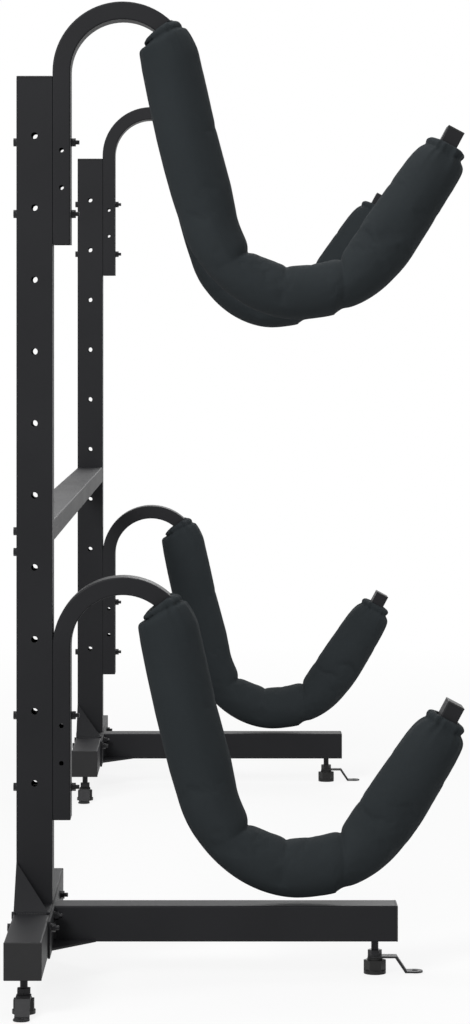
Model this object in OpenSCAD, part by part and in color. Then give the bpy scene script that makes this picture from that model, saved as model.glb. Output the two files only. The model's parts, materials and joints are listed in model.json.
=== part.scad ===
// Freestanding kayak rack: two post frames joined by a crossbar, four padded hook arms,
// six levelling feet with floor anchor straps.
// X runs from the posts to the cradles, Y along the kayak, Z up. All sizes are millimetres.

/* [Frames] */
// Distance between the centres of the two posts
frame_span = 2000; // [1400:50:2400]
// Outside width of the square post, rail and leg tubes
tube_w = 50; // [45:1:60]
// Wall thickness of the post, rail and leg tubes
tube_wall = 2; // [1.5:0.1:3]
// Length of the post above the base rail
post_len = 1150; // [1120:10:1400]
// Length of each base rail, centred on its post
rail_len = 600; // [440:10:800]
// Distance from the centre of the post to the free end of the leg
leg_reach = 502; // [400:2:640]

/* [Post holes] */
// Distance between accessory holes
hole_pitch = 100; // [96:1:100]
// Diameter of the accessory holes
hole_d = 9; // [7:0.5:10]
// Height of the lowest accessory hole above the base rail
hole_low = 170; // [160:1:190]
// Least distance from the top of the post to an accessory hole
hole_top = 80; // [60:1:80]
// Height of the accessory holes above the bolt holes that cross them
bolt_drop = 8; // [8:0.5:12]

/* [Crossbar] */
// Height of the crossbar's section
bar_h = 30; // [26:1:40]
// Wall thickness of the crossbar
bar_wall = 2; // [1.5:0.1:2.5]
// Height of the middle of the crossbar above the floor
bar_z = 617; // [560:1:640]
// Length of the middle section of the crossbar
bar_mid_len = 670; // [400:10:900]
// Length of each sleeve hidden in the crossbar's joints
sleeve_len = 160; // [100:5:200]
// Wall thickness of the joint sleeves
sleeve_wall = 2; // [1.5:0.1:3]
// Thickness of the tongue that joins the crossbar to a post
tongue_t = 5; // [4:0.5:6]
// Height of the tongue inside the post
tongue_h = 56; // [50:1:60]
// Length of the tongue inside the crossbar
tongue_len = 60; // [40:5:90]
// Distance between the two bolts that hold a tongue
tongue_pitch = 29; // [26:1:32]

/* [Arms] */
// Thickness of the arm tube, seen from the side of the rack
arm_t = 25; // [22:1:28]
// Width of the arm tube along the kayak
arm_w = 50; // [40:1:50]
// Wall thickness of the arm tube
arm_wall = 2; // [1.5:0.1:2.5]
// Length of the straight part that is bolted to the post
arm_straight = 240; // [220:5:260]
// Radius of the hook over the top, at the middle of the tube
hook_r = 85; // [78:1:90]
// Lean of the long side of the cradle away from upright, in degrees
back_lean = 11; // [8:1:14]
// Length of the straight long side of the cradle
back_len = 222; // [200:2:240]
// Radius of the bottom of the cradle, at the middle of the tube
bowl_r = 136; // [130:1:150]
// Lean of the free end away from upright, in degrees
tip_lean = 28; // [24:1:32]
// Length of the straight free end
tip_len = 178; // [165:1:190]
// Height of the lower bolt above the bottom end of the arm
arm_bolt_z = 43; // [30:1:50]
// Height of the lower peg hole above the bottom end of the arm
peg_z = 79; // [76:1:84]
// Distance between the two peg holes
peg_pitch = 52; // [48:1:52]
// Diameter of the peg holes
peg_d = 6.5; // [5:0.5:8]

/* [Pads] */
// Half of the pad's thickness, seen from the side of the rack
pad_half = 41; // [38:1:44]
// Half of the pad's width along the kayak
pad_half_w = 44; // [42:1:50]
// Free length of arm left bare at the tip, beyond the pad
tip_bare = 26; // [20:1:40]
// Angle of the hook that is left bare, in degrees from its straight part
hook_bare = 131; // [120:1:140]
// Room between the arm and the channel in its pad
pad_clear = 1.2; // [1.1:0.1:2]

/* [Brackets] */
// Thickness of the gussets and bracket plates
plate_t = 3; // [2:0.5:4]
// Height of the post gussets up the post
gusset_h = 62; // [40:1:80]
// Length of the post gussets along the rail
gusset_l = 68; // [40:1:90]
// Length of the plate that bolts the leg to the rail
bracket_len = 300; // [260:10:360]
// Length of the leg gussets along the leg
leg_gusset_x = 58; // [40:1:80]
// Length of the leg gussets along the rail
leg_gusset_y = 66; // [40:1:80]
// Distance of the inner leg bolts from the middle of the leg
leg_bolt_in = 40; // [38:1:46]
// Distance of the outer leg bolts from the middle of the leg
leg_bolt_out = 132; // [100:1:140]
// Distance of the leg bolts below the top of the rail
leg_bolt_down = 11; // [9:1:14]

/* [Bolts] */
// Diameter of the bolts
bolt_d = 6; // [5:0.5:6.5]
// Size of the bolt heads and nuts across their flats
bolt_af = 10; // [9:0.5:11]
// Thickness of the bolt heads
head_t = 4; // [3:0.2:5]
// Thickness of the nuts
nut_t = 5; // [4:0.2:6]
// Diameter of the washers
washer_d = 12; // [11:0.5:14]
// Thickness of the washers
washer_t = 1.6; // [1:0.1:2]
// Length of thread that stands out of a nut
bolt_out = 5; // [2:0.5:7]
// Room round a bolt in its hole
bolt_clear = 0.25; // [0.1:0.05:0.5]

/* [Feet] */
// Distance from the end of a rail or leg to its foot
foot_inset = 28; // [24:1:60]
// Height of the rail's underside above the floor
foot_h = 48; // [46:1:56]
// Diameter of the foot's base disc
foot_d = 31; // [26:1:36]
// Thickness of the base disc
foot_base_t = 5; // [3:0.5:6]
// Size of the foot's hexagon body across its flats
foot_af = 27; // [22:1:30]
// Height of the foot's body, base disc included
foot_body_h = 22; // [18:1:23]
// Diameter of the foot's stem
stem_d = 10; // [8:1:10]
// Length of the stem above the rail's underside
stem_in = 30; // [24:1:34]
// Size of the lock nut and weld nut across their flats
stem_nut_af = 17; // [15:0.5:18]
// Thickness of the lock nut and weld nut
stem_nut_t = 8; // [6:0.5:8]
// Room between the stem and the bore of its weld nut
stem_fit = 0.08; // [0.04:0.01:0.1]

/* [Anchor straps] */
// Thickness of the strap
strap_t = 2.5; // [2:0.1:3]
// Width of the strap
strap_w = 20; // [18:1:24]
// Length of the flat part beside the stem
strap_flat = 28; // [20:1:32]
// Length of the sloping part, measured along the floor
strap_slope = 14; // [10:1:20]
// Distance from the stem to the floor screw hole
strap_reach = 56; // [50:1:64]
// Diameter of the floor screw hole
strap_hole_d = 8.5; // [6:0.5:10]
// Height of the ring end above the floor
strap_lift = 1.5; // [1:0.1:3]
// Room above and below the strap, and round the stem
strap_clear = 0.3; // [0.2:0.05:0.5]

/* [Caps] */
// Thickness of the caps' outer plates
cap_t = 3; // [2:0.5:4]
// Depth of the caps' plugs inside their tubes
cap_depth = 14; // [8:1:20]
// Room between a cap's plug and its tube
cap_clear = 0.3; // [0.1:0.05:0.5]

/* [Hidden] */

steel = "#2b2c30";
plastic = "#1a1a1b";
zinc = "#8d9094";
cloth = "#22262a";

eps = 1;
round_fn = 48;
LEFT = -1;
RIGHT = 1;

// heights of the frame
rail_z = foot_h + tube_w / 2;
rail_top = foot_h + tube_w;
post_top = rail_top + post_len;

// holes up the post, counted from 0 at the bottom, as many as fit
count_slack = 0.001;
hole_count = 1 + floor((post_len - hole_low - hole_top) / hole_pitch + count_slack);
function hole_z(k) = rail_top + hole_low + k * hole_pitch;
function bolt_z(k) = hole_z(k) - bolt_drop;
// hole beside the lower bolt of each arm
lower_row = 0;
upper_row = hole_count - 2;

// path of an arm, in its own plane, from the bottom end of its straight part
hook_turn = 180 - back_lean;
bowl_turn = 180 - back_lean - tip_lean;
hook_c = [hook_r, arm_straight];
back_top = hook_c + hook_r * [cos(back_lean), sin(back_lean)];
back_bottom = back_top + back_len * [sin(back_lean), -cos(back_lean)];
bowl_c = back_bottom + bowl_r * [cos(back_lean), sin(back_lean)];
tip_start = bowl_c + bowl_r * [cos(tip_lean), -sin(tip_lean)];
tip_end = tip_start + tip_len * [sin(tip_lean), cos(tip_lean)];
arm_x = tube_w / 2 + arm_t / 2;
function arm_base_z(row) = bolt_z(row) - arm_bolt_z;
// the bends are drawn a hair slimmer than the straight runs that lap them, so the tube is one solid
bend_slim = 0.02;
arm_lap = 0.4;

// whole rack is centred on its own box
head_out = washer_t + head_t;
low_x = -tube_w / 2 - head_out;
high_x = arm_x + tip_end[0] + cap_t * sin(tip_lean) + arm_t / 2 * cos(tip_lean);
shift_x = -(low_x + high_x) / 2;

// feet: [x, y, turn of its strap] on one frame
foot_spots = [
  [0, -rail_len / 2 + foot_inset, -90],
  [0, rail_len / 2 - foot_inset, 90],
  [leg_reach - foot_inset, 0, 0]
];
strap_z = foot_body_h + strap_clear;
nut_z = strap_z + strap_t + strap_clear;

// ---- placing ----

module on_frame(side) {
  translate([shift_x, side * frame_span / 2, 0]) children();
}

module both_frames() {
  for (side = [LEFT, RIGHT]) on_frame(side) children();
}

module at_foot(side, i) {
  spot = foot_spots[i];
  on_frame(side) translate([spot[0], spot[1], 0]) rotate([0, 0, spot[2]]) children();
}

module at_arm(side, row) {
  on_frame(side) translate([arm_x, 0, arm_base_z(row)]) rotate([90, 0, 0]) children();
}

// ---- general shapes ----

// square or oblong tube standing on the origin along Z
module tube(w, d, len, wall) {
  difference() {
    translate([-w / 2, -d / 2, 0]) cube([w, d, len]);
    translate([-w / 2 + wall, -d / 2 + wall, -eps]) cube([w - 2 * wall, d - 2 * wall, len + 2 * eps]);
  }
}

// plug cap for a tube that ends at the origin, its plate standing along +Z
module plug_cap(w, d, wall) {
  in_w = w - 2 * wall - 2 * cap_clear;
  in_d = d - 2 * wall - 2 * cap_clear;
  difference() {
    union() {
      translate([-w / 2, -d / 2, 0]) cube([w, d, cap_t]);
      translate([-in_w / 2, -in_d / 2, -cap_depth]) cube([in_w, in_d, cap_depth + cap_t / 2]);
    }
    translate([-in_w / 2 + plate_t, -in_d / 2 + plate_t, -cap_depth - eps])
      cube([in_w - 2 * plate_t, in_d - 2 * plate_t, cap_depth + eps]);
  }
}

module hex_prism(af, h) {
  cylinder(r = af / 2 / cos(30), h = h, $fn = 6);
}

// round hole along X through the whole width of a tube
module cross_hole_x(d, len) {
  rotate([0, 90, 0]) cylinder(d = d, h = len, center = true, $fn = round_fn);
}

// round hole along Y through the whole depth of a tube
module cross_hole_y(d, len) {
  rotate([90, 0, 0]) cylinder(d = d, h = len, center = true, $fn = round_fn);
}

// bolt along +X with its washer's seat on the origin
module bolt(grip) {
  rotate([0, 90, 0]) {
    cylinder(d = bolt_d, h = grip, $fn = round_fn);
    translate([0, 0, -washer_t]) cylinder(d = washer_d, h = washer_t, $fn = round_fn);
    translate([0, 0, -washer_t - head_t]) hex_prism(bolt_af, head_t);
  }
}

// nut and washer along +X with the washer's seat on the origin
module nut() {
  bore = bolt_d + 2 * stem_fit;
  rotate([0, 90, 0]) difference() {
    union() {
      cylinder(d = washer_d, h = washer_t, $fn = round_fn);
      translate([0, 0, washer_t]) hex_prism(bolt_af, nut_t);
    }
    translate([0, 0, -eps]) cylinder(d = bore, h = washer_t + nut_t + 2 * eps, $fn = round_fn);
  }
}

// ---- frame ----

module post(side) {
  hole_len = tube_w + 2 * eps;
  color(steel) on_frame(side) difference() {
    translate([0, 0, rail_top]) tube(tube_w, tube_w, post_len, tube_wall);
    for (k = [0 : hole_count - 1]) {
      translate([0, 0, hole_z(k)]) cross_hole_y(hole_d, hole_len);
      translate([0, 0, bolt_z(k)]) cross_hole_x(bolt_d + 2 * bolt_clear, hole_len);
    }
    for (z = tongue_bolt_z) translate([-tube_w / 2, 0, z])
      cross_hole_x(bolt_d + 2 * bolt_clear, 3 * tube_wall);
    // slot in the inner wall for the crossbar's tongue
    translate([tongue_x - tongue_gap, -side * tube_w / 2 - 2 * tube_wall, tongue_low - tongue_gap])
      cube([tongue_t + 2 * tongue_gap, 4 * tube_wall, tongue_h + 2 * tongue_gap]);
  }
}

module post_caps() {
  color(plastic) both_frames() translate([0, 0, post_top]) plug_cap(tube_w, tube_w, tube_wall);
}

module base_rail(side) {
  color(steel) on_frame(side) difference() {
    translate([0, rail_len / 2, rail_z]) rotate([90, 0, 0]) tube(tube_w, tube_w, rail_len, tube_wall);
    for (i = [0, 1]) foot_hole(foot_spots[i]);
    for (y = leg_bolt_y) translate([0, y, leg_bolt_z])
      cross_hole_x(bolt_d + 2 * bolt_clear, tube_w + 2 * eps);
  }
}

// hole for a foot's stem in the underside of a rail or leg
module foot_hole(spot) {
  translate([spot[0], spot[1], foot_h - tube_wall])
    cylinder(d = stem_d + 4 * strap_clear, h = 3 * tube_wall, $fn = round_fn);
}

module base_rail_caps() {
  color(plastic) both_frames() for (end = [-1, 1])
    translate([0, end * rail_len / 2, rail_z]) rotate([-90 * end, 0, 0])
      plug_cap(tube_w, tube_w, tube_wall);
}

// leg tube, from the bracket's plate to its free end
leg_start = tube_w / 2 + plate_t;

module leg(side) {
  color(steel) on_frame(side) difference() {
    translate([leg_start, 0, rail_z]) rotate([0, 90, 0])
      tube(tube_w, tube_w, leg_reach - leg_start, tube_wall);
    foot_hole(foot_spots[2]);
  }
}

module leg_caps() {
  color(plastic) both_frames() translate([leg_reach, 0, rail_z]) rotate([0, 90, 0])
    plug_cap(tube_w, tube_w, tube_wall);
}

// folded gusset: base on the rail, web up the post, tapered flange along the slope
module post_gusset() {
  slope = atan(gusset_h / gusset_l);
  slope_len = norm([gusset_h, gusset_l]);
  translate([-tube_w / 2, -tube_w / 2, rail_top]) {
    translate([0, -gusset_l, 0]) cube([tube_w, gusset_l, plate_t]);
    rotate([90, 0, 90]) linear_extrude(plate_t)
      polygon([[0, 0], [0, gusset_h], [-gusset_l, 0]]);
    intersection() {
      translate([0, -gusset_l, 0]) rotate([slope, 0, 0]) translate([0, 0, -plate_t])
        linear_extrude(plate_t) polygon([[0, 0], [tube_w, 0], [0, slope_len]]);
      translate([0, -gusset_l, 0]) cube([tube_w, gusset_l, gusset_h]);
    }
  }
}

module post_gussets(side) {
  color(steel) on_frame(side) {
    post_gusset();
    mirror([0, 1, 0]) post_gusset();
  }
}

// plate against the rail with a flat gusset on each side of the leg
leg_bolt_y = [-leg_bolt_out, -leg_bolt_in, leg_bolt_in, leg_bolt_out];
leg_bolt_z = rail_top - leg_bolt_down;

module leg_bracket(side) {
  color(steel) on_frame(side) {
    difference() {
      translate([tube_w / 2, -bracket_len / 2, foot_h]) cube([plate_t, bracket_len, tube_w]);
      for (y = leg_bolt_y) translate([tube_w / 2, y, leg_bolt_z])
        cross_hole_x(bolt_d + 2 * bolt_clear, 4 * plate_t);
    }
    for (end = [0, 1]) mirror([0, end, 0])
      translate([leg_start, tube_w / 2, foot_h]) linear_extrude(plate_t)
        polygon([[0, 0], [leg_gusset_x, 0], [0, leg_gusset_y]]);
  }
}

module leg_bolts() {
  grip = tube_w + plate_t + washer_t + nut_t + bolt_out;
  color(zinc) both_frames() for (y = leg_bolt_y)
    translate([-tube_w / 2, y, leg_bolt_z]) bolt(grip);
}

module leg_nuts() {
  color(zinc) both_frames() for (y = leg_bolt_y) translate([leg_start, y, leg_bolt_z]) nut();
}

// ---- crossbar ----

bar_end = frame_span / 2 - tube_w / 2;
bar_side_len = bar_end - bar_mid_len / 2;
tongue_gap = cap_clear;
tongue_x = -tube_w / 2 + tube_wall;
tongue_low = bar_z + bar_h / 2 - bar_wall - cap_clear - tongue_h;
tongue_bolt_z = [bar_z - tongue_pitch, bar_z];

module bar(low_y, len) {
  translate([shift_x, low_y + len, bar_z]) rotate([90, 0, 0]) tube(tube_w, bar_h, len, bar_wall);
}

module crossbar(side) {
  low_y = side == LEFT ? -bar_end : bar_mid_len / 2;
  color(steel) bar(low_y, bar_side_len);
}

module middle_crossbar() {
  color(steel) bar(-bar_mid_len / 2, bar_mid_len);
}

// sleeves bridge the two butt joints from inside
module crossbar_sleeves() {
  w = tube_w - 2 * bar_wall;
  h = bar_h - 2 * bar_wall;
  color(steel) for (end = [-1, 1])
    translate([shift_x, end * bar_mid_len / 2 + sleeve_len / 2, bar_z]) rotate([90, 0, 0])
      tube(w, h, sleeve_len, sleeve_wall);
}

// flat tongue: welded inside the crossbar, bolted inside the post
module crossbar_tongues() {
  in_post = tube_w - 2 * tube_wall - tongue_gap;
  in_bar_h = bar_h - 2 * bar_wall - 2 * cap_clear;
  color(steel) for (side = [LEFT, RIGHT]) on_frame(side) mirror([0, side == LEFT ? 0 : 1, 0])
    difference() {
      union() {
        translate([tongue_x, tube_w / 2 - in_post, tongue_low]) cube([tongue_t, in_post, tongue_h]);
        translate([tongue_x, tube_w / 2 - eps, bar_z - in_bar_h / 2])
          cube([tongue_t, tongue_len + eps, in_bar_h]);
      }
      for (z = tongue_bolt_z) translate([tongue_x, 0, z])
        cross_hole_x(bolt_d + 2 * stem_fit, 4 * tongue_t);
    }
}

module crossbar_bolts() {
  color(zinc) both_frames() for (z = tongue_bolt_z)
    translate([-tube_w / 2, 0, z]) bolt(tube_wall + tongue_t + bolt_out);
}

// ---- arms ----

module arm_section(t, w) {
  square([t, w], center = true);
}

// straight run, with a lap before its start and past its end
module arm_run(t, w, len, before, past) {
  translate([0, 0, -before]) linear_extrude(len + before + past) arm_section(t, w);
}

module arm_bend(t, w, r, turn) {
  rotate_extrude(angle = turn, $fn = 96) translate([r, 0]) arm_section(t, w);
}

// solid bent bar along the arm's path: its bends are slimmer by slim, and both ends grow
module arm_bar(t, w, slim, grow_end) {
  rotate([-90, 0, 0]) arm_run(t, w, arm_straight, grow_end, arm_lap);
  translate(hook_c) rotate([0, 0, back_lean]) arm_bend(t - slim, w - slim, hook_r, hook_turn);
  translate(back_top) rotate([0, 0, back_lean]) rotate([90, 0, 0])
    arm_run(t, w, back_len, arm_lap, arm_lap);
  translate(bowl_c) rotate([0, 0, 180 + back_lean]) arm_bend(t - slim, w - slim, bowl_r, bowl_turn);
  translate(tip_start) rotate([0, 0, -tip_lean]) rotate([-90, 0, 0])
    arm_run(t, w, tip_len, arm_lap, grow_end);
}

module arm(side, row) {
  color(steel) at_arm(side, row) difference() {
    arm_bar(arm_t, arm_w, bend_slim, 0);
    arm_bar(arm_t - 2 * arm_wall, arm_w - 2 * arm_wall, -bend_slim, eps);
    for (v = [arm_bolt_z, arm_bolt_z + hole_pitch]) translate([0, v, 0])
      cross_hole_x(bolt_d + 2 * bolt_clear, arm_t + 2 * eps);
    for (v = [peg_z, peg_z + peg_pitch]) translate([0, v, 0])
      cylinder(d = peg_d, h = arm_w + 2 * eps, center = true, $fn = round_fn);
  }
}

module each_arm() {
  for (side = [LEFT, RIGHT]) for (row = [upper_row, lower_row]) at_arm(side, row) children();
}

module arm_tip_caps() {
  color(plastic) each_arm() translate(tip_end) rotate([0, 0, -tip_lean]) rotate([-90, 0, 0])
    plug_cap(arm_t, arm_w, arm_wall);
}

module each_arm_bolt(seat_x) {
  for (side = [LEFT, RIGHT]) on_frame(side) for (row = [upper_row, lower_row]) for (k = [0, 1])
    translate([seat_x, 0, bolt_z(row + k)]) children();
}

module arm_bolts() {
  grip = tube_w + arm_t + washer_t + nut_t + bolt_out;
  color(zinc) each_arm_bolt(-tube_w / 2) bolt(grip);
}

module arm_nuts() {
  color(zinc) each_arm_bolt(tube_w / 2 + arm_t) nut();
}

// ---- pads ----

// the pad follows the arm from the hook to just short of the tip
pad_hook_len = (hook_turn - hook_bare) * PI / 180 * hook_r;
pad_bowl_len = bowl_turn * PI / 180 * bowl_r;
pad_tip_len = tip_len - tip_bare;
pad_len = pad_hook_len + back_len + pad_bowl_len + pad_tip_len;

// point and travel direction of the arm at distance s along the pad: [x, y, angle]
function pad_at(s) =
  s < pad_hook_len
    ? let (a = 180 - hook_bare - s / hook_r * 180 / PI)
      [hook_c[0] + hook_r * cos(a), hook_c[1] + hook_r * sin(a), a - 90]
  : s < pad_hook_len + back_len
    ? let (d = s - pad_hook_len)
      [back_top[0] + d * sin(back_lean), back_top[1] - d * cos(back_lean), back_lean - 90]
  : s < pad_hook_len + back_len + pad_bowl_len
    ? let (a = 180 + back_lean + (s - pad_hook_len - back_len) / bowl_r * 180 / PI)
      [bowl_c[0] + bowl_r * cos(a), bowl_c[1] + bowl_r * sin(a), a - 270]
    : let (d = s - pad_hook_len - back_len - pad_bowl_len)
      [tip_start[0] + d * sin(tip_lean), tip_start[1] + d * cos(tip_lean), 90 - tip_lean];

// shift of the padding towards the kayak, in halves of its thickness, by fraction of its length
pad_shift_keys =
  [[0, -0.2], [0.06, -0.39], [0.25, -0.32], [0.42, -0.07], [0.6, 0.02], [0.8, 0.24], [0.93, 0.17], [1, 0.02]];
// thickness near an end, as a share of full, by distance from that end in halves of the thickness
pad_end_keys =
  [[0, 0.62], [0.12, 0.68], [0.24, 0.64], [0.39, 0.74], [0.73, 0.9], [1.34, 0.98], [1.95, 1]];
// fullness along the middle: a little slack where the sleeve is sewn over the bend
pad_slack = 0.03;
pad_waves = 2.5;
function pad_swell(f) = 1 + pad_slack * sin(f * 360 * pad_waves);

function pad_scale(s) =
  lookup(min(s, pad_len - s) / pad_half, pad_end_keys) * pad_swell(s / pad_len);

pad_sides = 16;
pad_hook_steps = 4;
pad_back_steps = 4;
pad_bowl_steps = 12;
pad_tip_steps = 3;
// where the channel bends, one ring a step
channel_rings = concat(
  [for (i = [0 : pad_hook_steps]) i / pad_hook_steps * pad_hook_len],
  [for (i = [0 : pad_bowl_steps]) pad_hook_len + back_len + i / pad_bowl_steps * pad_bowl_len],
  [pad_len]);
end_rings = [for (i = [0 : 4]) pad_end_keys[i][0] * pad_half];
skin_rings = concat(
  end_rings,
  [for (i = [0 : pad_back_steps]) pad_hook_len + i / (pad_back_steps + 1) * back_len],
  [for (i = [0 : pad_bowl_steps]) pad_hook_len + back_len + i / pad_bowl_steps * pad_bowl_len],
  [for (i = [1 : pad_tip_steps - 1])
    pad_len - pad_tip_len + i / pad_tip_steps * (pad_tip_len - end_rings[4])],
  [for (i = [len(end_rings) - 1 : -1 : 0]) pad_len - end_rings[i]]);

// one point beside the path: out from the arm's middle by u in its plane, w across it
function beside(at, u, w) = [at[0] - u * sin(at[2]), at[1] + u * cos(at[2]), w];

// soft-cornered round of the padding
function skin_ring(s) =
  let (at = pad_at(s), k = pad_scale(s), shift = pad_half * lookup(s / pad_len, pad_shift_keys))
  [for (i = [0 : pad_sides - 1]) let (a = (i + 0.5) * 360 / pad_sides)
    beside(at, shift + k * pad_half * cos(a), k * pad_half_w * sin(a))];

// oblong channel round the arm, with the same count of points
function box_reach(a, half_u, half_w) =
  min(half_u / max(abs(cos(a)), 0.001), half_w / max(abs(sin(a)), 0.001));
channel_u = arm_t / 2 + pad_clear;
channel_w = arm_w / 2 + pad_clear;
channel_corner = atan(channel_w / channel_u);
// angles of the channel's points: the four corners and three between each pair
channel_angles = [for (i = [0 : pad_sides - 1])
  let (q = floor(i / 4), r = i % 4,
       from = [-channel_corner, channel_corner, 180 - channel_corner, 180 + channel_corner][q],
       to = [channel_corner, 180 - channel_corner, 180 + channel_corner, 360 - channel_corner][q])
  from + (to - from) * r / 4];
function channel_ring(s) =
  let (at = pad_at(s))
  [for (a = channel_angles) let (reach = box_reach(a, channel_u, channel_w))
    beside(at, reach * cos(a), reach * sin(a))];

// triangles between two rings of points that start at a and b; flip turns them inside out
function band(a, b, flip) = [for (i = [0 : pad_sides - 1])
  let (j = (i + 1) % pad_sides)
  for (t = flip ? [[a + i, b + i, a + j], [a + j, b + i, b + j]]
                : [[a + i, a + j, b + i], [a + j, b + j, b + i]]) t];

module pad_body() {
  skin = [for (s = skin_rings) each skin_ring(s)];
  channel = [for (s = channel_rings) each channel_ring(s)];
  skin_n = len(skin_rings);
  channel_n = len(channel_rings);
  base = skin_n * pad_sides;
  // the channel's points start a corner early, so its ring is turned to match the skin's
  turned = [for (r = [0 : channel_n - 1]) for (i = [0 : pad_sides - 1])
    channel[r * pad_sides + (i + 2) % pad_sides]];
  polyhedron(
    points = concat(skin, turned),
    faces = concat(
      [for (r = [0 : skin_n - 2]) each band(r * pad_sides, (r + 1) * pad_sides, false)],
      [for (r = [0 : channel_n - 2])
        each band(base + r * pad_sides, base + (r + 1) * pad_sides, true)],
      band(0, base, true),
      band((skin_n - 1) * pad_sides, base + (channel_n - 1) * pad_sides, false)),
    convexity = 6);
}

module pad(side, row) {
  color(cloth) at_arm(side, row) pad_body();
}

// ---- feet ----

module foot_weld_nuts() {
  color(zinc) for (side = [LEFT, RIGHT]) for (i = [0 : 2]) at_foot(side, i)
    translate([0, 0, foot_h + tube_wall]) difference() {
      hex_prism(stem_nut_af, stem_nut_t);
      translate([0, 0, -eps]) cylinder(d = stem_d + 2 * stem_fit, h = stem_nut_t + 2 * eps, $fn = round_fn);
    }
}

// the foot's round collar stands above its hexagon, and the stem is moulded in below it
stem_socket = 14;
collar_h = 3;
collar_in = 3;

module foot(side, i) {
  color(plastic) at_foot(side, i) difference() {
    union() {
      cylinder(d = foot_d, h = foot_base_t, $fn = round_fn);
      hex_prism(foot_af, foot_body_h - collar_h);
      cylinder(d = foot_af - 2 * collar_in, h = foot_body_h, $fn = round_fn);
    }
    translate([0, 0, foot_body_h - stem_socket]) cylinder(d = stem_d, h = stem_socket + eps, $fn = round_fn);
  }
}

// stem with its lock nut run down above the strap
module stem(side, i) {
  color(zinc) at_foot(side, i) {
    translate([0, 0, foot_body_h - stem_socket])
      cylinder(d = stem_d, h = foot_h + stem_in - foot_body_h + stem_socket, $fn = round_fn);
    translate([0, 0, nut_z]) hex_prism(stem_nut_af, stem_nut_t);
  }
}

// flat strap bent down to a ring that is screwed to the floor
strap_ring_out = 1;

module strap(side, i) {
  ring_r = strap_w / 2 + strap_ring_out;
  color(zinc) at_foot(side, i) difference() {
    union() {
      translate([0, strap_w / 2, 0]) rotate([90, 0, 0]) linear_extrude(strap_w) polygon([
        [0, strap_z], [strap_flat, strap_z],
        [strap_flat + strap_slope, strap_lift], [strap_reach, strap_lift],
        [strap_reach, strap_lift + strap_t], [strap_flat + strap_slope + strap_t, strap_lift + strap_t],
        [strap_flat + strap_t, strap_z + strap_t], [0, strap_z + strap_t]]);
      translate([0, 0, strap_z]) cylinder(r = strap_w / 2, h = strap_t, $fn = round_fn);
      translate([strap_reach, 0, strap_lift]) cylinder(r = ring_r, h = strap_t, $fn = round_fn);
    }
    translate([0, 0, strap_z - eps])
      cylinder(d = stem_d + 2 * strap_clear, h = strap_t + 2 * eps, $fn = round_fn);
    translate([strap_reach, 0, strap_lift - eps])
      cylinder(d = strap_hole_d, h = strap_t + 2 * eps, $fn = round_fn);
  }
}

post(LEFT);  // left_post
post(RIGHT);  // right_post
post_caps();
base_rail(LEFT);  // left_base_rail
base_rail(RIGHT);  // right_base_rail
base_rail_caps();
leg(LEFT);  // left_leg
leg(RIGHT);  // right_leg
leg_caps();
post_gussets(LEFT);  // left_post_gussets
post_gussets(RIGHT);  // right_post_gussets
leg_bracket(LEFT);  // left_leg_bracket
leg_bracket(RIGHT);  // right_leg_bracket
leg_bolts();
leg_nuts();
crossbar(LEFT);  // left_crossbar
middle_crossbar();
crossbar(RIGHT);  // right_crossbar
crossbar_sleeves();
crossbar_tongues();
crossbar_bolts();
arm(LEFT, upper_row);  // left_upper_arm
arm(LEFT, lower_row);  // left_lower_arm
arm(RIGHT, upper_row);  // right_upper_arm
arm(RIGHT, lower_row);  // right_lower_arm
arm_tip_caps();
arm_bolts();
arm_nuts();
pad(LEFT, upper_row);  // left_upper_pad
pad(LEFT, lower_row);  // left_lower_pad
pad(RIGHT, upper_row);  // right_upper_pad
pad(RIGHT, lower_row);  // right_lower_pad
foot_weld_nuts();
foot(LEFT, 0);  // left_front_foot
foot(LEFT, 1);  // left_back_foot
foot(LEFT, 2);  // left_leg_foot
foot(RIGHT, 0);  // right_front_foot
foot(RIGHT, 1);  // right_back_foot
foot(RIGHT, 2);  // right_leg_foot
stem(LEFT, 0);  // left_front_stem
stem(LEFT, 1);  // left_back_stem
stem(LEFT, 2);  // left_leg_stem
stem(RIGHT, 0);  // right_front_stem
stem(RIGHT, 1);  // right_back_stem
stem(RIGHT, 2);  // right_leg_stem
strap(LEFT, 0);  // left_front_strap
strap(LEFT, 1);  // left_back_strap
strap(LEFT, 2);  // left_leg_strap
strap(RIGHT, 0);  // right_front_strap
strap(RIGHT, 1);  // right_back_strap
strap(RIGHT, 2);  // right_leg_strap
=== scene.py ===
# %% [markdown]
# # A freestanding kayak rack
# Two drilled posts stand on base rails, joined by a crossbar. Each post carries two bent arms in
# padded sleeves, and six levelling feet with floor straps carry it all. The steelwork arrives from
# the drawing at its true size. This notebook gives it rounded corners, threads and finishes, and
# sews the four sleeves.

# %% Load the steelwork
import json
import math

import bmesh
import bpy
import numpy as np
from mathutils import Matrix, Vector, noise


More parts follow.
